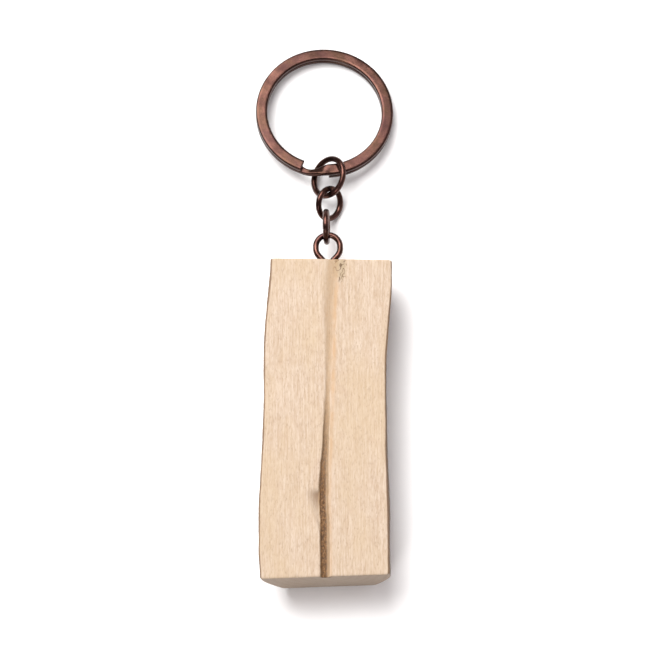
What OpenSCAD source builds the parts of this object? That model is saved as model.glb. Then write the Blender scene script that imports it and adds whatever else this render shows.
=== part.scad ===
// Keychain: a half-log wooden tag on a short chain with a flat split ring.
// Origin: centre of the tag's flat back, which it lies on. +Y runs along the tag
// to the ring, +Z is up out of the split face. Millimetres.

/* [Wood tag] */
// Length of the tag along the grain
block_len = 68.7; // [50:0.1:100]
// Width of the split face at mid length
block_w = 25.8; // [20:0.1:40]
// Thickness from the flat back to the split face
block_t = 12.7; // [9:0.1:20]
// How far the left side curves in from the split face to the back
left_lean = 5.4; // [2:0.1:7]
// How far the right side curves in from the split face to the back
right_lean = 3.8; // [2:0.1:7]
// How the left side curves: 1 leans evenly, more stands upright further down
left_curve = 1.6; // [1:0.1:4]
// How the right side curves: 1 leans evenly, more stands upright further down
right_curve = 3; // [1:0.1:4]
// Radius worn on the edges of the split face
edge_r = 0.5; // [0.2:0.1:1.2]
// Depth of the open pith groove at the foot end
groove_depth = 0.8; // [0.2:0.1:1.5]
// Width of the open pith groove at the foot end
groove_w = 2.0; // [1:0.1:4]

/* [Screw eye] */
// Wire diameter of the eye
eye_wire = 1.3; // [1:0.05:1.6]
// Hole through the eye
eye_hole = 3.9; // [3.4:0.1:5]
// Half angle at which the legs run together
eye_angle = 31; // [28:1:36]
// Outer diameter of the thread
thread_d = 1.7; // [1.6:0.05:2]
// Length of the threaded shank inside the tag
thread_len = 7; // [4:0.5:12]
// Distance between thread crests
thread_pitch = 0.7; // [0.5:0.05:1]

/* [Chain] */
// Wire diameter of the three jump rings
link_wire = 1.2; // [1:0.05:1.3]
// Outer diameter of the eye link and of the middle link
link_od = 7.8; // [7.6:0.05:8]
// Outer diameter of the jump ring that holds the split ring
jump_od = 9.6; // [9.4:0.05:9.8]
// Width of the saw cut where a ring is closed
cut_w = 0.12; // [0.05:0.01:0.3]

/* [Split ring] */
// Outer diameter of the split ring
ring_od = 30; // [29:0.1:30.4]
// Width of the flat wire, across the ring's radius
flat_w = 2.5; // [2:0.1:2.6]
// Thickness of the flat wire
flat_t = 1.18; // [1:0.02:1.2]
// Gap between the two coils
coil_gap = 0.04; // [0.02:0.01:0.1]
// Radius on the edges of the flat wire
flat_r = 0.4; // [0.2:0.05:0.5]
// Most that the crossing stretch of wire twists
cross_twist = 28; // [0:1:30]
// Most that the crossing stretch is pinched narrower
cross_pinch = 0.45; // [0:0.05:0.6]

/* [Hidden] */
$fn = 48;

// Where each ring lies at rest: its centre, and its turn about X then about Y.
eye_at = [0.64, block_len / 2 + 4.6, block_t / 2];
eye_link_at = [0.3, 43.45, 6.2];
eye_link_turn = [0, 87, 0];
middle_at = [0.95, 49.65, 3.2];
middle_turn = [18, 47, 0];
jump_at = [0.75, 55.4, 3.95];
jump_turn = [-2, -41, 0];
ring_at = [-0.15, 70.55, 2.65];
ring_turn = [-5, 2, 0];
// Turn of each saw cut round its own ring, from +X.
eye_link_cut = 190;
middle_cut = 60;
jump_cut = 255;

eye_r = (eye_hole + eye_wire) / 2;
eye_drop = eye_r / sin(eye_angle);
leg_len = eye_drop * cos(eye_angle);
shank_top = eye_at.y - eye_drop;
thread_tip = 1.4;
// The thread starts this far inside the tag, below the bore's wider mouth.
thread_top = 1;
thread_start = block_len / 2 - thread_top;
mouth_depth = 0.9;
mouth_d = 2.3;
coil_r = (ring_od - flat_w) / 2;
coil_z = (flat_t + coil_gap) / 2;

// Angles round the split ring, from +X: the upper coil starts at end_a, and the
// wire crosses between the two levels from cross_top to cross_low.
end_a = 250.5;
cross_low = 250.5;
cross_top = 290;
end_b = 273.7;

function ramp(v, a, b) = let (t = min(1, max(0, (v - a) / (b - a)))) t * t * (3 - 2 * t);
function bump(v, a, b) = let (t = min(1, max(0, (v - a) / (b - a)))) pow(sin(180 * t), 2);

// A tube between successive rings of points, closed at both ends.
module loft(rings) {
    n = len(rings);
    m = len(rings[0]);
    points = [for (r = rings) each r];
    sides = [for (i = [0:n - 2], j = [0:m - 1])
        let (a = i * m + j, b = i * m + (j + 1) % m)
        each [[a, b, a + m], [b, b + m, a + m]]];
    caps = [[for (j = [m - 1:-1:0]) j], [for (j = [0:m - 1]) (n - 1) * m + j]];
    polyhedron(points = points, faces = concat(sides, caps), convexity = 6);
}

// --- Wood tag -----------------------------------------------------------------

// Half widths of the split face along the length: the tag spreads to the right at
// the ring end and to both sides at the foot, as the branch did.
function left_w(y) = block_w / 2 - 1.3 * ramp(y, 15, 34) + 0.9 * ramp(-y, -2, 22)
    - 0.35 * ramp(-y, 27, 34.5);
function right_w(y) = block_w / 2 + 1.4 * ramp(y, 9, 32) + 0.45 * ramp(-y, 5, 24);

// The pith groove: open and narrow at the foot, a soft trough near the ring.
function groove_x(y) = 0.9 * ramp(y, -16, 22) + 0.7 * ramp(y, 22, 34) - 0.25 * bump(y, -28, -6);
function groove_open(y) = ramp(-y, -6, 6);
function groove_half(y) = groove_w / 2 * (0.62 + 0.91 * ramp(y, 8, 30) + 0.4 * ramp(-y, 4, 16));
function groove_deep(y) = groove_depth * (0.34 + 0.66 * groove_open(y));
groove_steps = [-1, -0.75, -0.5, 0, 0.5, 0.75, 1];
function groove_z(s) = -pow(cos(90 * s), 0.7);

// One side of the section, from the back corner to the split face, as [x, z]
// for a side that is w wide at the top. A worn edge ends it.
side_steps = 6;
function side(w, lean, curve) = [for (i = [0:side_steps]) let (s = i / side_steps)
        [w - lean * pow(1 - s, curve), s * (block_t - edge_r)],
    [w - edge_r * 0.3, block_t - edge_r * 0.3], [w - edge_r, block_t]];

function section(y, inset) =
    let (l = side(left_w(y) - inset, left_lean, left_curve),
        r = side(right_w(y) - inset, right_lean, right_curve),
        top = [for (s = groove_steps)
            [groove_x(y) - s * groove_half(y), block_t + groove_deep(y) * groove_z(s)]],
        back = [[0, 0]])
    concat(back, r, top, [for (i = [len(l) - 1:-1:0]) [-l[i].x, l[i].y]]);

// The sawn ends are not quite square to the grain.
foot_skew = 0.035;
head_skew = -0.015;
function skew(y) = y < 0 ? foot_skew * ramp(-y, 20, 34) : head_skew * ramp(y, 20, 34);

block_steps = 22;
end_wear = 0.35;
block_ys = concat([-block_len / 2],
    [for (i = [0:block_steps]) (block_len / 2 - end_wear) * (2 * i / block_steps - 1)],
    [block_len / 2]);

module wood_block() {
    color("burlywood")
    difference() {
        loft([for (y = block_ys)
            let (inset = abs(y) == block_len / 2 ? end_wear : 0)
            [for (p = section(y, inset)) [p.x, y + skew(y) * p.x, max(p.y, 0)]]]);
        // blind pilot bore for the screw eye, with a wider mouth where its legs meet
        translate([eye_at.x, block_len / 2 + 1, eye_at.z]) rotate([90, 0, 0]) {
            cylinder(d = eye_wire, h = 1 + thread_top + thread_len - thread_tip / 2);
            cylinder(d = mouth_d, h = 1 + mouth_depth);
        }
    }
}

// --- Screw eye ----------------------------------------------------------------

// The eye's two legs run straight off the circle and meet on the shank. Each is
// set a little way into the end of the arc, so it is a hair thinner.
leg_bury = 0.12;
leg_d = eye_wire - 0.02;
module eye_leg(side) {
    translate([side * eye_r * cos(eye_angle), -eye_r * sin(eye_angle), 0])
        rotate([90, 0, -side * eye_angle])
            translate([0, 0, -leg_bury]) cylinder(d = leg_d, h = leg_len + leg_bury);
}

module thread() {
    core = eye_wire / 2 - 0.1;
    crests = floor((thread_len - thread_tip) / thread_pitch);
    rotate_extrude()
        polygon(concat([[0, 0], [core, 0]],
            [for (i = [0:crests - 1]) let (z = (i + 0.25) * thread_pitch)
                each [[core, z], [thread_d / 2, z + 0.2], [core, z + 0.4]]],
            [[core, thread_len - thread_tip], [0.1, thread_len], [0, thread_len]]));
}

module screw_eye() {
    color([0.42, 0.26, 0.22])
    translate(eye_at) {
        rotate([0, 0, -eye_angle]) rotate_extrude(angle = 180 + 2 * eye_angle)
            translate([eye_r, 0]) circle(d = eye_wire);
        eye_leg(1);
        eye_leg(-1);
        translate([0, -eye_drop, 0]) rotate([90, 0, 0])
            cylinder(d = eye_wire, h = shank_top - thread_start + 0.6);
        translate([0, thread_start - eye_at.y, 0]) rotate([90, 0, 0]) thread();
    }
}

// --- Chain --------------------------------------------------------------------

// A round wire ring, sawn through once and closed again.
module wire_ring(od, cut_at) {
    r = (od - link_wire) / 2;
    cut = cut_w / r * 180 / PI;
    rotate([0, 0, cut_at + cut / 2]) rotate_extrude(angle = 360 - cut)
        translate([r, 0]) circle(d = link_wire);
}

module eye_link() {
    color([0.42, 0.26, 0.22])
    translate(eye_link_at) rotate(eye_link_turn) wire_ring(link_od, eye_link_cut);
}

module middle_link() {
    color([0.45, 0.28, 0.24])
    translate(middle_at) rotate(middle_turn) wire_ring(link_od, middle_cut);
}

module jump_ring() {
    color([0.4, 0.25, 0.21])
    translate(jump_at) rotate(jump_turn) wire_ring(jump_od, jump_cut);
}

// --- Split ring ---------------------------------------------------------------

// Section of the flat wire about its own centre, edges rounded.
function flat_section(w, t, r) = [for (c = [[1, 1], [-1, 1], [-1, -1], [1, -1]], i = [0:3])
    let (a = (c == [1, 1] ? 0 : c == [-1, 1] ? 90 : c == [-1, -1] ? 180 : 270) + 30 * i)
    [c.x * (w / 2 - r) + r * cos(a), c.y * (t / 2 - r) + r * sin(a)]];

module coil(from, to, z) {
    rotate([0, 0, from]) rotate_extrude(angle = to - from)
        translate([coil_r, z]) polygon(flat_section(flat_w, flat_t, flat_r));
}

// The stretch that drops from the upper coil to the lower one between the two
// ends: it twists, inner edge down, and is pinched from the inside.
cross_steps = 28;
cross_bury = 1.2;
cross_fit = 0.02;
module crossing() {
    span = cross_top - cross_low + 2 * cross_bury;
    loft([for (i = [0:cross_steps])
        let (a = cross_low - cross_bury + span * i / cross_steps,
            z = coil_z * (2 * ramp(a, end_a + 1.5, end_b - 0.5) - 1),
            pinch = cross_pinch * bump(a, cross_low - 2, cross_top - 2),
            twist = cross_twist * bump(a, end_a + 0.5, end_b + 2))
        [for (p = flat_section(flat_w - pinch - cross_fit, flat_t - cross_fit, flat_r))
            let (u = p.x * cos(twist) - p.y * sin(twist) + coil_r + pinch / 2,
                v = p.x * sin(twist) + p.y * cos(twist) + z)
            [u * cos(a), u * sin(a), v]]]);
}

module split_ring() {
    color([0.43, 0.26, 0.23])
    translate(ring_at) rotate(ring_turn) {
        coil(cross_top - 360, end_a, coil_z);
        coil(end_b - 360, cross_low, -coil_z);
        crossing();
    }
}

wood_block();
screw_eye();
eye_link();
middle_link();
jump_ring();
split_ring();
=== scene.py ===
"""A keychain: a half-log wooden tag, a screw eye, three jump rings and a flat split ring.

The tag lies on its sanded back with the split face up, and the chain runs off its head
end along +Y. Lengths below are in millimetres and are turned into metres by MM.
"""

import math

import bmesh
import bpy
from mathutils import Euler, Matrix, Vector, noise


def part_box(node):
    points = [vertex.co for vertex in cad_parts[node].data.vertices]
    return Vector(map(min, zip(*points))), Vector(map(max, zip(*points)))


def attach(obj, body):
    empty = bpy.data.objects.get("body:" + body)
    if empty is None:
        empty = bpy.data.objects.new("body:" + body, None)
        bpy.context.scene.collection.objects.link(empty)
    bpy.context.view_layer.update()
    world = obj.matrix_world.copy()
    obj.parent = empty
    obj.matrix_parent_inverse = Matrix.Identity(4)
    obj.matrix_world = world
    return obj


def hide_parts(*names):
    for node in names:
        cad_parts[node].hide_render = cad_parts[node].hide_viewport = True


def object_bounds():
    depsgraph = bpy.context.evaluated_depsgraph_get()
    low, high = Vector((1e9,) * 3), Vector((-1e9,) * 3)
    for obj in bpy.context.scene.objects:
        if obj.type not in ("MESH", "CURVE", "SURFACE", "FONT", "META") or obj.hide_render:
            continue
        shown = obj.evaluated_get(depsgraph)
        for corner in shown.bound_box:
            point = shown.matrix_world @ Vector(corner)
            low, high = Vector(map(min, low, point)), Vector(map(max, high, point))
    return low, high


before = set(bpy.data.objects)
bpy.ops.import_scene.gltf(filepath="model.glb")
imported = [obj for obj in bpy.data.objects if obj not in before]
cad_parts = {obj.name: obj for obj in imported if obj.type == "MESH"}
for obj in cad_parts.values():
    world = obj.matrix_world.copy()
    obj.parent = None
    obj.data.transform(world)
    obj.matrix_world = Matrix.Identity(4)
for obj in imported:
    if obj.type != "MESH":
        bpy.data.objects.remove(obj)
cad_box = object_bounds()

MM = 0.001


# --- Camera, lights and table --------------------------------------------------------
# A long lens looks down on the table from the foot of the tag. A broad soft light stands
# past the head of the tag at its left, and a smaller weak one stands past the foot.

TABLE_HALF = 1.5
LENS_ANGLE = 12.0
LENS_TILT = 15.5
LENS_AIM = Vector((1.07, 20.35, 6.35)) * MM
LENS_DISTANCE = 669.7 * MM
NEAR_CLIP = 0.01
KEY_LIGHT_COLOUR = (1.0, 1.0, 0.99)
FILL_LIGHT_COLOUR = (1.0, 0.97, 0.96)
SKY_COLOUR = (1.0, 0.935, 0.95, 1)
SKY_BRIGHT_SIDE = (0.42, 0.55, 0.65)
PAPER_COLOUR = (0.93, 0.925, 0.925, 1)

camera = bpy.data.objects.new("camera", bpy.data.cameras.new("camera"))
camera.data.angle = math.radians(LENS_ANGLE)
camera.data.clip_start = NEAR_CLIP
camera.rotation_euler = (math.radians(LENS_TILT), 0, 0)
lens_turn = Euler(camera.rotation_euler).to_matrix()
camera.location = LENS_AIM + lens_turn @ Vector((0, 0, LENS_DISTANCE))
bpy.context.scene.collection.objects.link(camera)
bpy.context.scene.camera = camera
bpy.context.scene.view_settings.view_transform = "Standard"


def soft_box(name, place, size, power, colour):
    """A square soft light that faces the middle of the chain."""
    light = bpy.data.lights.new(name, "AREA")
    light.size = size
    light.energy = power
    light.color = colour
    lamp = bpy.data.objects.new(name, light)
    lamp.location = place
    aim = Vector((0, 0.03, 0)) - lamp.location
    lamp.rotation_euler = aim.to_track_quat("-Z", "Y").to_euler()
    bpy.context.scene.collection.objects.link(lamp)


soft_box("key_light", (-0.31, 0.44, 0.82), 0.75, 15.9, KEY_LIGHT_COLOUR)
soft_box("fill_light", (-0.32, -0.64, 0.62), 0.24, 1.8, FILL_LIGHT_COLOUR)

sky = bpy.data.worlds.new("studio")
sky.use_nodes = True
sky_nodes, sky_links = sky.node_tree.nodes, sky.node_tree.links
sky_nodes["Background"].inputs["Color"].default_value = SKY_COLOUR
sky_place = sky_nodes.new("ShaderNodeTexCoord")
sky_lean = sky_nodes.new("ShaderNodeVectorMath")
sky_lean.operation = "DOT_PRODUCT"
sky_lean.inputs[1].default_value = SKY_BRIGHT_SIDE
sky_range = sky_nodes.new("ShaderNodeMapRange")
for label, value in (("From Min", -0.8), ("From Max", 1.0), ("To Min", 0.08), ("To Max", 0.66)):
    sky_range.inputs[label].default_value = value
sky_links.new(sky_place.outputs["Generated"], sky_lean.inputs[0])
sky_links.new(sky_lean.outputs["Value"], sky_range.inputs["Value"])
sky_links.new(sky_range.outputs["Result"], sky_nodes["Background"].inputs["Strength"])
bpy.context.scene.world = sky


def new_piece(name, mesh, *materials):
    """Makes a bmesh into an object at the origin, smooth shaded, with its materials."""
    data = bpy.data.meshes.new(name)
    mesh.to_mesh(data)
    mesh.free()
    data.shade_smooth()
    for material in materials:
        data.materials.append(material)
    piece = bpy.data.objects.new(name, data)
    bpy.context.scene.collection.objects.link(piece)
    return piece


def new_material(name):
    """A node material: gives the material, its node tree and its Principled shader."""
    material = bpy.data.materials.new(name)
    material.use_nodes = True
    return material, material.node_tree, material.node_tree.nodes["Principled BSDF"]


paper, _, paper_shader = new_material("table_paper")
paper_shader.inputs["Base Color"].default_value = PAPER_COLOUR
paper_shader.inputs["Roughness"].default_value = 0.9
paper_shader.inputs["Specular IOR Level"].default_value = 0.2
table_mesh = bmesh.new()
bmesh.ops.create_grid(table_mesh, x_segments=4, y_segments=4, size=TABLE_HALF)
bmesh.ops.translate(table_mesh, vec=(0, 0, cad_box[0][2]), verts=table_mesh.verts)
table = new_piece("table", table_mesh, paper)


# --- Wooden tag ----------------------------------------------------------------------
# A short length of branch split down its pith. The split face is sanded but keeps the
# open pith groove, the back is sanded flat, and thin bark is left on the two sides.

tag_low, tag_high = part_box("wood_block")
TAG_LENGTH = 68.7
TAG_THICK = (tag_high.z - tag_low.z) / MM
TAG_HALF_WIDTH = 12.9
LEFT_LEAN = 5.4
RIGHT_LEAN = 3.8
LEFT_CURVE = 1.6
RIGHT_CURVE = 3.0
LEFT_SWELL = 0.12
RIGHT_SWELL = 0.34
EDGE_WEAR = 0.32
FOOT_UNDERCUT = 0.8
GROOVE_DEPTH = 0.8
GROOVE_HALF = 1.0
SCAR_TOP = -15.4
SCAR_LENGTH = 11.0
SCAR_REACH = 3.8
SCAR_DEPTH = 0.5
STAIN_AT = Vector((3.2, 32.4, 0))
CHIP_AT = Vector((-5.8, -34.3, 0))
CHIP_DEPTH = 0.3
FOOT_SKEW = 0.035
HEAD_SKEW = -0.015
CORNER_WEAR = 0.15
CUTS_ALONG = 180
CUTS_ACROSS = 110
CUTS_DOWN = 18
GRAIN_RELIEF = 0.12 * MM
SAW_RELIEF = 0.1 * MM
BARK_RELIEF = 0.2 * MM
FACE_WOOD, END_WOOD, BARK = 0, 1, 2

DARK_FIBRE = (0.425, 0.315, 0.223, 1)
PALE_FIBRE = (0.535, 0.431, 0.336, 1)
WARM_CLOUD = (0.476, 0.357, 0.226, 1)
DULL_BLOT = (0.44, 0.318, 0.226, 1)
PORE = (0.297, 0.202, 0.131, 1)
# Painted light: orange tan on the groove's right bank, standing in for that bank lit from the left.
LIT_BANK_TAN = (0.476, 0.303, 0.167, 1)
STAIN_OLIVE = (0.27, 0.2, 0.105, 1)
STAIN_LINE = (0.105, 0.058, 0.026, 1)
# Brown of the shoot's scar, which along the scar's top edge is also painted shade.
SCAR_BROWN_AND_SHADE = (0.2, 0.122, 0.072, 1)
TROUGH_TAN = (0.45, 0.305, 0.17, 1)
PITH_DARK = (0.05, 0.02, 0.006, 1)
PITH_PALE = (0.21, 0.108, 0.043, 1)
RIM_BROWN = (0.131, 0.071, 0.036, 1)
END_PALE = (0.36, 0.285, 0.222, 1)
END_RING = (0.335, 0.262, 0.203, 1)
END_SPECKLE = (0.214, 0.161, 0.119, 1)
END_CLOUD = (0.357, 0.297, 0.238, 1)
END_PITH = (0.131, 0.077, 0.042, 1)
BARK_DARK = (0.077, 0.045, 0.024, 1)
BARK_BROWN = (0.161, 0.098, 0.054, 1)
BARK_RUBBED = (0.345, 0.238, 0.137, 1)
BARK_FLECK = (0.274, 0.202, 0.143, 1)


def ramp(value, start, end):
    """0 before start, 1 after end, and smooth between."""
    t = min(1.0, max(0.0, (value - start) / (end - start)))
    return t * t * (3 - 2 * t)


def bump(value, start, end):
    """A smooth hump between start and end."""
    t = min(1.0, max(0.0, (value - start) / (end - start)))
    return math.sin(math.pi * t) ** 2


def grown(x, y, z, size):
    """Smooth unevenness, from -1 to 1, of about that size in millimetres."""
    return noise.noise(Vector((x, y, z)) / size)


def left_width(y):
    """How wide the split face is left of the middle: narrow at the head, broad at the foot."""
    foot = 0.9 * ramp(-y, -2, 22) - 0.35 * ramp(-y, 27, 34.5)
    return TAG_HALF_WIDTH - 1.3 * ramp(y, 15, 34) + foot


def right_width(y):
    """How wide the split face is right of the middle: broadest at the head."""
    return TAG_HALF_WIDTH + 1.4 * ramp(y, 9, 32) + 0.45 * ramp(-y, 5, 24)


def groove_x(y):
    """Where the pith groove runs: it wanders, and drifts to the right towards the head."""
    wander = 0.12 * grown(3, y, 0, 5)
    return 0.9 * ramp(y, -16, 22) + 0.7 * ramp(y, 22, 34) - 0.25 * bump(y, -28, -6) + wander


def groove_open(y):
    """How open the groove is: 1 along the foot half, 0 where it is only a soft trough."""
    return ramp(-y, -6, 6)


def groove_profile(x, y):
    """Depth of the groove at a point, from 0 to 1, with ragged walls where it is open."""
    opened = groove_open(y)
    half = GROOVE_HALF * (0.62 + 0.91 * ramp(y, 8, 30) + 0.4 * ramp(-y, 4, 16))
    half *= 1 + 0.12 * grown(x, y, 5, 1.1) * opened
    side = abs(x - groove_x(y)) / half
    wall = 1 - 0.6 * opened
    return 1 - ramp(side, 1 - wall, 1 + 0.3 * wall)


def scar(x, y):
    """Depth, from 0 to 1, of the scar of a side shoot left of the groove, widest at its top."""
    run = (SCAR_TOP - y) / SCAR_LENGTH
    if not 0 < run < 1:
        return 0
    out = (groove_x(y) - 0.6 * GROOVE_HALF - x) / (SCAR_REACH * (1 - run) + 0.1)
    return (1 - ramp(out, 0.1, 1.0)) * ramp(run, 0, 0.15) * (x < groove_x(y))


def spread(u):
    """Packs the cuts closer together round the groove, and leaves the edges alone."""
    return 0.45 * u + 1.1 * u**3 - 0.55 * u**5


def shape_tag(mesh):
    """Turns the cut-up box into the grown and worn shape of the tag, and marks its woods."""
    pith, lit_right_bank, stain, rim, scar_brown_and_shade = (
        mesh.verts.layers.float.new(name) for name in ("pith", "lit_right_bank", "stain", "rim", "scar_brown_and_shade")
    )
    for vert in mesh.verts:
        u, y, z = vert.co.x / TAG_HALF_WIDTH, vert.co.y, vert.co.z
        up = z / TAG_THICK
        middle = groove_x(y)
        if u > 0:
            reach = right_width(y) - middle
            lean = RIGHT_LEAN * (1 - up) ** RIGHT_CURVE - RIGHT_SWELL * bump(up, 0.4, 1.0)
        else:
            reach = left_width(y) + middle
            lean = LEFT_LEAN * (1 - up) ** LEFT_CURVE - LEFT_SWELL * bump(up, 0.4, 1.0)
        side = 0.1 * grown(u, y, z, 7) + 0.06 * grown(u, y, z, 2.2)
        x = middle * up + spread(u) * (reach - lean + side * abs(u) ** 6)
        top = ramp(up, 0.9, 1.0)
        profile = groove_profile(x, y) * top
        opened = groove_open(y)
        shoot = scar(x, y) * top
        sunk = GROOVE_DEPTH * (0.34 + 0.66 * opened) * profile
        crumbs = 0.14 * profile * opened * grown(x, y, 7, 0.4)
        to_chip = Vector(((x - CHIP_AT.x) * 1.6, y - CHIP_AT.y, 0)).length
        chip = CHIP_DEPTH * (1 - ramp(to_chip, 0.1, 0.6)) * top
        sanded = 0.03 * grown(x, y * 0.3, 11, 2.5) * top * (1 - profile)
        down = max(sunk, SCAR_DEPTH * shoot) + crumbs + chip + 0.03 * top
        skew = (FOOT_SKEW if y < 0 else HEAD_SKEW) * ramp(abs(y), 20, 34)
        corner = CORNER_WEAR * ramp(abs(u), 0.93, 1.0) ** 2 * ramp(abs(y), 32, 34)
        corner += FOOT_UNDERCUT * (1 - ramp(up, 0, 0.14)) * ramp(abs(y), 32, TAG_LENGTH / 2)
        vert.co = Vector((x, y + skew * x - math.copysign(corner, y), z - down + sanded))
        from_groove = (x - middle) / GROOVE_HALF
        # Painted light: the pith brown is weakened on the open groove's right wall, which stands in
        # for that wall lit from the left.
        lit_right_wall = ramp(from_groove, 0.1, 0.7) * opened
        vert[pith] = profile * (0.24 + 0.76 * ramp(-y, -10, 20)) * (1 - 0.6 * lit_right_wall)
        # Painted light: a band right of the groove only, standing in for its right bank lit from the
        # left.
        vert[lit_right_bank] = bump(from_groove, 0.3, 1.9) * top * (0.55 + 0.45 * ramp(y, -30, 20))
        to_stain = Vector(((x - STAIN_AT.x) * 0.9, (y - STAIN_AT.y) * 0.42, 0)).length
        vert[stain] = (1 - ramp(to_stain, 0.6, 2.0)) * top
        vert[rim] = (1 - ramp(reach - abs(x - middle * up), 0.05, 0.75)) * top
        # The scar's brown is strongest at its top edge: partly the scar's own brown, partly painted
        # shade under that edge.
        vert[scar_brown_and_shade] = shoot * ramp(y, SCAR_TOP - SCAR_LENGTH * 0.6, SCAR_TOP - 1)


def bevel_edges(mesh, edges, offset, segments):
    """Rounds the edges by that offset, in that many segments."""
    bmesh.ops.bevel(
        mesh, geom=edges, affect="EDGES", offset=offset, segments=segments, profile=0.5, material=-1
    )


def long_edges(mesh, axis, least):
    """The edges that run along an axis and are longer than that."""
    found = []
    for edge in mesh.edges:
        run = edge.verts[1].co - edge.verts[0].co
        if abs(run[axis]) > least and abs(run[axis]) > 0.99 * run.length:
            found.append(edge)
    return found


tag_mesh = bmesh.new()
bmesh.ops.create_cube(tag_mesh, size=1)
bmesh.ops.scale(tag_mesh, vec=(2 * TAG_HALF_WIDTH, TAG_LENGTH, TAG_THICK), verts=tag_mesh.verts)
bmesh.ops.translate(tag_mesh, vec=(0, 0, TAG_THICK / 2), verts=tag_mesh.verts)
for face in tag_mesh.faces:
    if abs(face.normal.y) > 0.5:
        face.material_index = END_WOOD
    elif abs(face.normal.x) > 0.5:
        face.material_index = BARK
    else:
        face.material_index = FACE_WOOD
bevel_edges(tag_mesh, tag_mesh.edges[:], EDGE_WEAR, 3)
for axis, least, cuts in ((1, 20, CUTS_ALONG), (0, 10, CUTS_ACROSS), (2, 5, CUTS_DOWN)):
    edges = long_edges(tag_mesh, axis, least)
    bmesh.ops.subdivide_edges(tag_mesh, edges=edges, cuts=cuts, use_grid_fill=True)
shape_tag(tag_mesh)
bmesh.ops.scale(tag_mesh, vec=(MM, MM, MM), verts=tag_mesh.verts)
bmesh.ops.recalc_face_normals(tag_mesh, faces=tag_mesh.faces)


def add(tree, kind, links=None, **values):
    """Adds a node, sets its properties and inputs, and links what feeds them."""
    node = tree.nodes.new(kind)
    for name, value in values.items():
        if name in node.bl_rna.properties:
            setattr(node, name, value)
    for name, value in (links or {}).items():
        socket = node.inputs[name]
        if isinstance(value, bpy.types.NodeSocket):
            tree.links.new(value, socket)
        else:
            socket.default_value = value
    return node


def millimetres(tree, stretch=(1, 1, 1)):
    """The place on the piece in millimetres, stretched for a pattern."""
    place = add(tree, "ShaderNodeTexCoord")
    scale = tuple(part / MM for part in stretch)
    sockets = {"Vector": place.outputs["Object"], "Scale": scale}
    return add(tree, "ShaderNodeMapping", sockets).outputs["Vector"]


def grain(tree, stretch, detail=4.0, roughness=0.55, distortion=0.0):
    """Noise drawn out along the axes: 1 / stretch is about its size in millimetres."""
    node = add(
        tree,
        "ShaderNodeTexNoise",
        {
            "Vector": millimetres(tree, stretch),
            "Scale": 1.0,
            "Detail": detail,
            "Roughness": roughness,
            "Distortion": distortion,
        },
    )
    return node.outputs["Fac"]


def between(tree, value, low, high, to_low=0.0, to_high=1.0):
    """Stretches a value from low..high to to_low..to_high, and clamps it."""
    node = add(
        tree,
        "ShaderNodeMapRange",
        {"Value": value, "From Min": low, "From Max": high, "To Min": to_low, "To Max": to_high},
    )
    return node.outputs["Result"]


def times(tree, a, b):
    return add(tree, "ShaderNodeMath", {0: a, 1: b}, operation="MULTIPLY").outputs[0]


def plus(tree, a, b):
    return add(tree, "ShaderNodeMath", {0: a, 1: b}, operation="ADD").outputs[0]


def mixed(tree, share, a, b, blend="MIX"):
    """Colour b over colour a by a share."""
    node = add(tree, "ShaderNodeMix", data_type="RGBA", blend_type=blend)
    for socket, value in ((node.inputs[0], share), (node.inputs[6], a), (node.inputs[7], b)):
        if isinstance(value, bpy.types.NodeSocket):
            tree.links.new(value, socket)
        else:
            socket.default_value = value
    return node.outputs[2]


def mark(tree, name):
    """A mark that a mesh carries, such as how deep in the pith a point is."""
    return add(tree, "ShaderNodeAttribute", attribute_name=name).outputs["Fac"]


def relief(tree, shader, height, strength, distance):
    """Feeds a height to the shader's normal."""
    node = add(tree, "ShaderNodeBump", {"Height": height, "Strength": strength, "Distance": distance})
    tree.links.new(node.outputs["Normal"], shader.inputs["Normal"])


def group_of(name, outputs):
    """An empty node group with those outputs, as (name, socket type) pairs."""
    group = bpy.data.node_groups.new(name, "ShaderNodeTree")
    for label, kind in outputs:
        group.interface.new_socket(label, in_out="OUTPUT", socket_type=kind)
    return group, group.nodes.new("NodeGroupOutput")


# The fibres of the wood, which run along Y: streaks, short dashes and fine pores.
fibres, fibres_out = group_of(
    "wood_fibres", [(label, "NodeSocketFloat") for label in ("Tone", "Pores", "Height")]
)
streaks = grain(fibres, (2.6, 0.1, 2.6), 5, 0.6)
dashes = grain(fibres, (3.4, 0.55, 3.4), 4, 0.6)
pores = between(fibres, grain(fibres, (5.0, 1.3, 5.0), 2, 0.5), 0.58, 0.7)
tone = plus(fibres, times(fibres, streaks, 0.5), times(fibres, dashes, 0.5))
fibres.links.new(between(fibres, tone, 0.4, 0.6), fibres_out.inputs["Tone"])
fibres.links.new(pores, fibres_out.inputs["Pores"])
fibres.links.new(plus(fibres, tone, times(fibres, pores, -0.4)), fibres_out.inputs["Height"])


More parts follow.
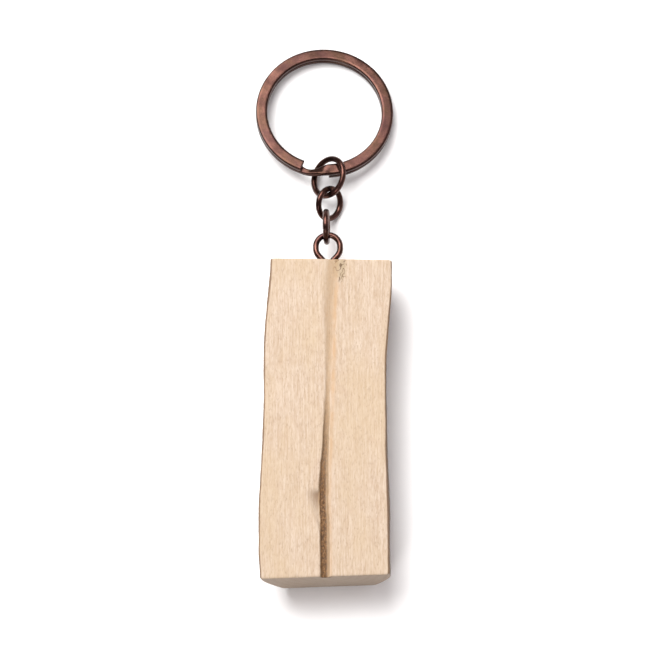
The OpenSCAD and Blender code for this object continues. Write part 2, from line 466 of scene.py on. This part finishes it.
def split_face_wood():
    """Pale sanded wood with the brown pith groove, a stain, a shoot's scar and a dark rim,
    with painted light on the groove's right bank and painted shade along the scar's top edge.
    """
    material, tree, shader = new_material("split_face_wood")
    wood = add(tree, "ShaderNodeGroup", node_tree=fibres)
    tan = mixed(tree, wood.outputs["Tone"], DARK_FIBRE, PALE_FIBRE)
    blot = grain(tree, (0.55, 0.3, 0.5), 4, 0.6)
    warm = between(tree, grain(tree, (0.13, 0.05, 0.2), 3), 0.4, 0.62)
    tan = mixed(tree, times(tree, warm, 0.45), tan, WARM_CLOUD)
    tan = mixed(tree, between(tree, blot, 0.52, 0.7, 0, 0.35), tan, DULL_BLOT)
    tan = mixed(tree, times(tree, wood.outputs["Pores"], 0.42), tan, PORE)
    # Painted light: orange tan on the groove's right bank, where light from the left falls.
    lit_right_bank = times(tree, mark(tree, "lit_right_bank"), between(tree, blot, 0.36, 0.56, 0.25, 0.75))
    tan = mixed(tree, lit_right_bank, tan, LIT_BANK_TAN)
    patch = grain(tree, (0.9, 0.8, 0.9), 3, 0.6)
    stain = between(tree, plus(tree, mark(tree, "stain"), patch), 0.95, 1.5)
    tan = mixed(tree, times(tree, stain, 0.5), tan, STAIN_OLIVE)
    worm = plus(tree, grain(tree, (0.75, 0.55, 0.75), 1, 0.4, 0.8), -0.5)
    worm = add(tree, "ShaderNodeMath", {0: worm}, operation="ABSOLUTE").outputs[0]
    in_stain = between(tree, mark(tree, "stain"), 0.35, 0.7)
    line = times(tree, between(tree, worm, 0.045, 0.014), in_stain)
    tan = mixed(tree, times(tree, line, 0.9), tan, STAIN_LINE)
    # Brown of the shoot's scar, and painted shade along its top edge.
    tan = mixed(tree, times(tree, mark(tree, "scar_brown_and_shade"), 0.9), tan, SCAR_BROWN_AND_SHADE)
    trough = between(tree, mark(tree, "pith"), 0.02, 0.24, 0, 0.55)
    tan = mixed(tree, trough, tan, TROUGH_TAN)
    crumbs = grain(tree, (3.0, 2.0, 3.0), 5, 0.7)
    brown = mixed(tree, between(tree, crumbs, 0.4, 0.6), PITH_DARK, PITH_PALE)
    in_pith = mark(tree, "pith")
    loose = times(tree, times(tree, plus(tree, crumbs, -0.5), 0.9), in_pith)
    ragged = plus(tree, in_pith, loose)
    tan = mixed(tree, between(tree, ragged, 0.0, 0.95), tan, brown)
    rim_noise = grain(tree, (0.5, 0.1, 0.5), 3, 0.6)
    rim = between(tree, plus(tree, mark(tree, "rim"), times(tree, rim_noise, 0.9)), 0.9, 1.25)
    tan = mixed(tree, times(tree, rim, 0.85), tan, RIM_BROWN)
    tree.links.new(tan, shader.inputs["Base Color"])
    tree.links.new(between(tree, wood.outputs["Tone"], 0, 1, 0.75, 0.58), shader.inputs["Roughness"])
    shader.inputs["Specular IOR Level"].default_value = 0.3
    pits = times(tree, times(tree, crumbs, mark(tree, "pith")), 2.0)
    height = plus(tree, wood.outputs["Height"], pits)
    relief(tree, shader, height, 0.5, GRAIN_RELIEF)
    return material


def sawn_end_wood():
    """End grain: growth rings round the pith, a fine speckle, and the marks of the saw."""
    material, tree, shader = new_material("sawn_end_wood")
    pith_at = add(
        tree,
        "ShaderNodeMapping",
        {
            "Vector": add(tree, "ShaderNodeTexCoord").outputs["Object"],
            "Location": (-0.3, 0, -TAG_THICK),
            "Scale": (1 / MM, 0, 1 / MM),
        },
    )
    radius = add(tree, "ShaderNodeVectorMath", {0: pith_at.outputs[0]}, operation="LENGTH")
    radius = radius.outputs["Value"]
    wobble = grain(tree, (0.35, 0.02, 0.35), 3)
    ring_phase = plus(tree, times(tree, radius, 3.4), times(tree, wobble, 5.0))
    rings = add(tree, "ShaderNodeMath", {0: ring_phase}, operation="SINE").outputs[0]
    rings = between(tree, rings, -0.4, 1.0)
    speckle = grain(tree, (5.0, 0.5, 5.0), 4, 0.65)
    wood = mixed(tree, rings, END_PALE, END_RING)
    wood = mixed(tree, between(tree, speckle, 0.42, 0.68, 0, 0.3), wood, END_SPECKLE)
    broad = grain(tree, (0.14, 0.1, 0.14), 2)
    wood = mixed(tree, between(tree, broad, 0.35, 0.7, 0, 0.3), wood, END_CLOUD)
    core = between(tree, radius, 1.5, 0.7)
    wood = mixed(tree, times(tree, core, 0.85), wood, END_PITH)
    tree.links.new(wood, shader.inputs["Base Color"])
    tree.links.new(between(tree, speckle, 0.3, 0.7, 0.62, 0.82), shader.inputs["Roughness"])
    shader.inputs["Specular IOR Level"].default_value = 0.25
    saw = grain(tree, (0.25, 0.5, 3.5), 3, 0.6)
    height = plus(tree, times(tree, saw, 0.8), times(tree, speckle, 0.6))
    relief(tree, shader, height, 0.5, SAW_RELIEF)
    return material


def thin_bark():
    """Thin smooth bark, rubbed through to the tan underneath in places."""
    material, tree, shader = new_material("thin_bark")
    long_marks = grain(tree, (0.5, 0.08, 0.5), 4, 0.6)
    flecks = grain(tree, (1.4, 0.5, 1.4), 4, 0.65)
    bark = mixed(tree, between(tree, flecks, 0.35, 0.65), BARK_DARK, BARK_BROWN)
    rubbed = between(tree, plus(tree, long_marks, times(tree, flecks, 0.3)), 0.66, 0.78)
    bark = mixed(tree, times(tree, rubbed, 0.8), bark, BARK_RUBBED)
    pale = between(tree, grain(tree, (2.2, 0.9, 2.2), 2, 0.4), 0.66, 0.72)
    bark = mixed(tree, times(tree, pale, 0.5), bark, BARK_FLECK)
    tree.links.new(bark, shader.inputs["Base Color"])
    tree.links.new(between(tree, flecks, 0.3, 0.7, 0.55, 0.8), shader.inputs["Roughness"])
    shader.inputs["Specular IOR Level"].default_value = 0.3
    height = plus(tree, times(tree, flecks, 0.7), times(tree, long_marks, 1.2))
    relief(tree, shader, height, 0.6, BARK_RELIEF)
    return material


tag = new_piece("wooden_tag", tag_mesh, split_face_wood(), sawn_end_wood(), thin_bark())
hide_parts("wood_block")
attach(tag, "tag")


# --- Antique copper finish -------------------------------------------------------------
# Steel wire plated with copper, darkened to brown and rubbed back where it is handled.
# Every wire piece has it, with its own amounts of rubbing and grime; on the split ring
# the same dark brown is also painted shade on the inner and outer walls.

COPPER_DARK = (0.038, 0.017, 0.014, 1)
COPPER_PALE = (0.112, 0.052, 0.04, 1)
OLIVE_BLOTCH = (0.064, 0.036, 0.02, 1)
PLUM_BLOTCH = (0.06, 0.026, 0.027, 1)
SPECK_PALE = (0.13, 0.071, 0.055, 1)
SPECK_DARK = (0.026, 0.013, 0.011, 1)
# Dark brown for grime, and on the split ring's inner and outer walls for painted shade.
GRIME_AND_SHADE_BROWN = (0.042, 0.022, 0.018, 1)
RUBBED_COPPER = (0.33, 0.2, 0.155, 1)
PATINA_RELIEF = 0.03 * MM

patina, patina_out = group_of(
    "antique_patina",
    [("Color", "NodeSocketColor"), ("Roughness", "NodeSocketFloat"), ("Height", "NodeSocketFloat")],
)
patina.interface.new_socket("Rubbed", in_out="INPUT", socket_type="NodeSocketFloat")
patina.interface.new_socket("Grime and shade", in_out="INPUT", socket_type="NodeSocketFloat")
patina_in = patina.nodes.new("NodeGroupInput")
clouds = grain(patina, (0.3, 0.3, 0.3), 4, 0.65)
olive = between(patina, grain(patina, (0.24, 0.2, 0.5), 3, 0.6), 0.5, 0.64)
plum = between(patina, grain(patina, (0.2, 0.26, 0.4), 3, 0.6), 0.5, 0.64)
specks = grain(patina, (3.2, 3.2, 3.2), 4, 0.7)
scratches = grain(patina, (1.2, 4.0, 2.0), 3, 0.6)
copper = mixed(patina, between(patina, clouds, 0.4, 0.6), COPPER_DARK, COPPER_PALE)
copper = mixed(patina, times(patina, olive, 0.6), copper, OLIVE_BLOTCH)
copper = mixed(patina, times(patina, plum, 0.5), copper, PLUM_BLOTCH)
copper = mixed(patina, between(patina, specks, 0.58, 0.72, 0, 0.45), copper, SPECK_PALE)
copper = mixed(patina, between(patina, specks, 0.42, 0.3, 0, 0.55), copper, SPECK_DARK)
# Grime darkens the copper, and on the split ring's walls this dark brown is painted shade.
copper = mixed(patina, times(patina, patina_in.outputs["Grime and shade"], 0.8), copper, GRIME_AND_SHADE_BROWN)
rubbed = plus(patina, patina_in.outputs["Rubbed"], times(patina, plus(patina, scratches, -0.5), 0.6))
copper = mixed(patina, between(patina, rubbed, 0.45, 1.0), copper, RUBBED_COPPER)
patina.links.new(copper, patina_out.inputs["Color"])
patina.links.new(between(patina, specks, 0.3, 0.7, 0.17, 0.29), patina_out.inputs["Roughness"])
patina.links.new(plus(patina, times(patina, specks, 0.5), scratches), patina_out.inputs["Height"])


def antique_copper(name, rubbed, grime_and_wall_shade):
    """The finish on one piece. Each amount is a number, or the name of a mark on its mesh."""
    material, tree, shader = new_material(name)
    finish = add(tree, "ShaderNodeGroup", node_tree=patina)
    for socket, amount in (("Rubbed", rubbed), ("Grime and shade", grime_and_wall_shade)):
        if isinstance(amount, str):
            tree.links.new(mark(tree, amount), finish.inputs[socket])
        else:
            finish.inputs[socket].default_value = amount
    tree.links.new(finish.outputs["Color"], shader.inputs["Base Color"])
    tree.links.new(finish.outputs["Roughness"], shader.inputs["Roughness"])
    shader.inputs["Metallic"].default_value = 1.0
    relief(tree, shader, finish.outputs["Height"], 0.25, PATINA_RELIEF)
    return material


# --- Screw eye -------------------------------------------------------------------------
# One wire, bent into a teardrop eye whose legs run together, with a thread cut on the
# shank down to a gimlet point. It is screwed into the middle of the tag's head end.

eye_low, eye_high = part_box("screw_eye")
EYE_WIRE = 1.3
EYE_RADIUS = 2.6
EYE_STRAIGHT = 0.4
EYE_STEPS = 60
LEG_ANGLE = math.radians(42)
LEG_STEPS = 14
LEG_BEND = 0.9
LEG_BEND_STEPS = 8
LEG_FOOT = 0.9
THREAD_RADIUS = 0.85
THREAD_ROOT = 0.598
THREAD_PITCH = 0.7
THREAD_FLANK = 3.2
THREAD_LENGTH = 7.0
THREAD_STEPS = 100
POINT_LENGTH = 1.4
POINT_NARROWING = 0.82
WIRE_SIDES = 24
MERGE_DISTANCE = 0.001
EYE_WEAR = 0.34
EYE_GRIME = 0.05
UP = Vector((0, 0, 1))
ALONG = Vector((0, 1, 0))
eye_centre = (eye_low + eye_high) / 2 / MM
eye_centre.y = eye_high.y / MM - EYE_RADIUS - EYE_WIRE / 2
eye_turn = eye_centre - EYE_STRAIGHT * ALONG
leg_length = EYE_RADIUS / math.tan(LEG_ANGLE)
bend_run = LEG_BEND * math.tan(LEG_ANGLE / 2)
join = eye_turn - EYE_RADIUS / math.sin(LEG_ANGLE) * ALONG
bend_centre = join + Vector((LEG_BEND, -bend_run, 0))
thread_top = Vector((join.x, TAG_LENGTH / 2, join.z))


def wire_end(mesh, radius, centre, forward):
    """The round end of a wire, from which it is drawn out along forward."""
    turn = forward.to_track_quat("Z", "Y").to_matrix().to_4x4()
    place = Matrix.Translation(centre) @ turn
    made = bmesh.ops.create_circle(
        mesh, cap_ends=True, segments=WIRE_SIDES, radius=radius, matrix=place
    )
    return made["verts"][0].link_faces[0]


def draw_out(mesh, face, step, widen=1.0):
    """Draws a wire out straight by a step, widens its end, and gives the new end."""
    face = bmesh.ops.extrude_discrete_faces(mesh, faces=[face])["faces"][0]
    bmesh.ops.translate(mesh, vec=step, verts=face.verts)
    centre = Matrix.Translation(-face.calc_center_median())
    bmesh.ops.scale(mesh, vec=(widen, widen, widen), space=centre, verts=face.verts)
    return face


def bend(mesh, face, centre, axis, angle, steps):
    """Bends a wire on round a centre, and gives its new end."""
    made = bmesh.ops.spin(
        mesh, geom=[face, *face.edges, *face.verts], cent=centre, axis=axis, angle=angle, steps=steps
    )
    return [part for part in made["geom_last"] if isinstance(part, bmesh.types.BMFace)][0]


def soften_cuts(mesh, offset):
    """Rounds the rims of the flat cut ends."""
    rims = [edge for face in mesh.faces if len(face.verts) > 4 for edge in face.edges]
    bevel_edges(mesh, rims, offset, 2)


def finish_wire(mesh):
    """Merges doubles, closes the ends, faces the wire outwards and brings it to metres."""
    bmesh.ops.remove_doubles(mesh, verts=mesh.verts, dist=MERGE_DISTANCE)
    bmesh.ops.holes_fill(mesh, edges=mesh.edges)
    bmesh.ops.recalc_face_normals(mesh, faces=mesh.faces)
    bmesh.ops.scale(mesh, vec=(MM, MM, MM), verts=mesh.verts)


def leg_way(side):
    """The way the left leg (side -1) or the right leg (side 1) runs down to the shank."""
    return Vector((-side * math.sin(LEG_ANGLE), -math.cos(LEG_ANGLE), 0))


def cut_thread(mesh):
    """Raises a spiral thread on the shank below thread_top, and narrows it to a point."""
    for vert in mesh.verts:
        depth = thread_top.y - vert.co.y
        if depth < 0:
            continue
        out = Vector((vert.co.x - thread_top.x, 0, vert.co.z - thread_top.z))
        turn = math.atan2(out.z, out.x) / math.tau
        place = (depth / THREAD_PITCH - turn) % 1.0
        crest = 1 - min(1.0, abs(place - 0.5) * THREAD_FLANK)
        point = ramp(depth, THREAD_LENGTH - POINT_LENGTH, THREAD_LENGTH)
        height = (THREAD_RADIUS - THREAD_ROOT) * crest * ramp(depth, 0, THREAD_PITCH) * (1 - point)
        radius = THREAD_ROOT * (1 - POINT_NARROWING * point) + height
        if out.length > 0.01:
            vert.co += out.normalized() * (radius - out.length)


eye_mesh = bmesh.new()
end = wire_end(eye_mesh, LEG_FOOT * EYE_WIRE / 2, join, -leg_way(-1))
end = draw_out(eye_mesh, end, -LEG_FOOT * leg_way(-1), 1 / LEG_FOOT)
end = draw_out(eye_mesh, end, (LEG_FOOT - leg_length) * leg_way(-1))
end = bend(eye_mesh, end, eye_turn, -UP, LEG_ANGLE, LEG_STEPS)
end = draw_out(eye_mesh, end, EYE_STRAIGHT * ALONG)
end = bend(eye_mesh, end, eye_centre, -UP, math.pi, EYE_STEPS)
end = draw_out(eye_mesh, end, -EYE_STRAIGHT * ALONG)
end = bend(eye_mesh, end, eye_turn, -UP, LEG_ANGLE, LEG_STEPS)
end = draw_out(eye_mesh, end, (leg_length - bend_run) * leg_way(1))
end = bend(eye_mesh, end, bend_centre, UP, LEG_ANGLE, LEG_BEND_STEPS)
end = draw_out(eye_mesh, end, thread_top - end.calc_center_median())
for _ in range(THREAD_STEPS):
    end = draw_out(eye_mesh, end, -THREAD_LENGTH / THREAD_STEPS * ALONG)
cut_thread(eye_mesh)
finish_wire(eye_mesh)
eye_copper = antique_copper("copper_screw_eye", EYE_WEAR, EYE_GRIME)
screw_eye = new_piece("screw_eye_wire", eye_mesh, eye_copper)
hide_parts("screw_eye")
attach(screw_eye, "tag")


# --- Jump rings ------------------------------------------------------------------------
# Three rings of round wire, wound on a rod, sawn off and closed by hand, so each has a
# fine butt joint. They link the eye to the split ring, and each turns in the next.

LINK_WIRE = 1.27
SAW_CUT = 0.12
SAWN_RIM = 0.07
RING_STEPS = 96
SMALL_LINK = 7.8
LARGE_LINK = 9.6
LINK_WEAR = 0.38
LINK_GRIME = 0.02


def jump_ring(name, node, diameter, turn, cut_at):
    """A sawn ring of wire in its CAD node's place, turned about X and then about Y."""
    low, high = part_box(node)
    place = Matrix.Translation((low + high) / 2 / MM)
    place @= Euler([math.radians(part) for part in turn]).to_matrix().to_4x4()
    radius = (diameter - LINK_WIRE) / 2
    gap = SAW_CUT / radius
    mesh = bmesh.new()
    end = wire_end(mesh, LINK_WIRE / 2, Vector((radius, 0, 0)), ALONG)
    bend(mesh, end, Vector(), UP, math.tau - gap, RING_STEPS)
    soften_cuts(mesh, SAWN_RIM)
    spin_to_cut = Matrix.Rotation(math.radians(cut_at) + gap / 2, 4, "Z")
    bmesh.ops.transform(mesh, matrix=place @ spin_to_cut, verts=mesh.verts)
    finish_wire(mesh)
    piece = new_piece(name, mesh, antique_copper("copper_" + name, LINK_WEAR, LINK_GRIME))
    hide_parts(node)
    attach(piece, node)


jump_ring("sawn_eye_link", "eye_link", SMALL_LINK, (0, 87, 0), 208)
jump_ring("sawn_middle_link", "middle_link", SMALL_LINK, (18, 47, 0), 60)
jump_ring("sawn_jump_ring", "jump_ring", LARGE_LINK, (-2, -41, 0), 255)


# --- Split ring ------------------------------------------------------------------------
# One flat wire with rounded edges, coiled twice. Between its two ends it drops from the
# upper coil to the lower one, where it is pinched narrower and twists a little.

FLAT_WIDTH = 2.5
FLAT_THICK = 1.18
FLAT_EDGE = 0.4
CUT_RIM = 0.05
RING_DIAMETER = 30.0
COIL_RADIUS = (RING_DIAMETER - FLAT_WIDTH) / 2
COIL_LEVEL = 0.61
RING_TURN = (-5, 2, 0)
END_A = 249.6
END_B = 273.7
PINCH = 1.25
PINCH_LEAD = 12
CROSS_TWIST = 22
COIL_STEP = 1.5
CROSS_STEP = 0.75
MIN_FLAT = 0.3
CORNER_RUB = 0.85
FACE_GRIME = 0.5


def ring_station(angle):
    """Where the wire's section stands at an angle along the wire, and how it lies there."""
    level = COIL_LEVEL * (2 * ramp(angle, END_A + 1.5, END_B - 0.5) - 1)
    pinch = PINCH * bump(angle, END_A - PINCH_LEAD, END_B + 1)
    twist = CROSS_TWIST * bump(angle, END_A, END_B + 2)
    place = Matrix.Rotation(math.radians(angle), 4, "Z")
    place @= Matrix.Translation((COIL_RADIUS + pinch / 2, 0, level))
    place @= Matrix.Rotation(math.radians(-twist), 4, "Y")
    return place @ Matrix.Diagonal((1 - pinch / FLAT_WIDTH, 1, 1, 1))


def ring_stations():
    """Stations along the wire: from end B round below, up the crossing and on top to end A."""
    stations = []
    angle = END_B - 360
    while angle < END_A + 360:
        stations.append(ring_station(angle))
        angle += CROSS_STEP if END_A - PINCH_LEAD < angle < END_B + COIL_STEP else COIL_STEP
    stations.append(ring_station(END_A + 360))
    return stations


ring_low, ring_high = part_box("split_ring")
ring_place = Matrix.Translation((ring_low + ring_high) / 2 / MM)
ring_place @= Euler([math.radians(part) for part in RING_TURN]).to_matrix().to_4x4()
ring_mesh = bmesh.new()
bmesh.ops.create_grid(ring_mesh, x_segments=1, y_segments=1, size=0.5)
bmesh.ops.scale(ring_mesh, vec=(FLAT_WIDTH, FLAT_THICK, 1), verts=ring_mesh.verts)
bmesh.ops.bevel(
    ring_mesh,
    geom=ring_mesh.verts[:],
    affect="VERTICES",
    offset=FLAT_EDGE,
    segments=5,
    profile=0.5,
    material=-1,
)
worn = ring_mesh.verts.layers.float.new("worn")
grime_and_wall_shade = ring_mesh.verts.layers.float.new("grime_and_wall_shade")
flats = [edge for edge in ring_mesh.edges if edge.calc_length() > MIN_FLAT]
bmesh.ops.subdivide_edges(ring_mesh, edges=flats, cuts=5)
for vert in ring_mesh.verts:
    along = abs(vert.co.x) / (FLAT_WIDTH / 2)
    across = abs(vert.co.y) / (FLAT_THICK / 2)
    vert[worn] = CORNER_RUB * ramp(along * across, 0.62, 0.9)
    # The flat faces get half the grime darkening; the inner and outer walls get all of it, as painted
    # shade.
    vert[grime_and_wall_shade] = FACE_GRIME + (1 - FACE_GRIME) * ramp(along, 0.93, 1.0)
upright = Matrix.Rotation(math.pi / 2, 3, "X")
bmesh.ops.rotate(ring_mesh, cent=(0, 0, 0), matrix=upright, verts=ring_mesh.verts)
stations = ring_stations()
end = ring_mesh.faces[:][0]
bmesh.ops.transform(ring_mesh, matrix=stations[0], verts=end.verts)
for before, after in zip(stations, stations[1:]):
    end = bmesh.ops.extrude_discrete_faces(ring_mesh, faces=[end])["faces"][0]
    bmesh.ops.transform(ring_mesh, matrix=after @ before.inverted(), verts=end.verts)
bmesh.ops.holes_fill(ring_mesh, edges=ring_mesh.edges)
soften_cuts(ring_mesh, CUT_RIM)
bmesh.ops.transform(ring_mesh, matrix=ring_place, verts=ring_mesh.verts)
finish_wire(ring_mesh)
ring_copper = antique_copper("copper_split_ring", "worn", "grime_and_wall_shade")
split_ring = new_piece("flat_split_ring", ring_mesh, ring_copper)
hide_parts("split_ring")
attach(split_ring, "split_ring")
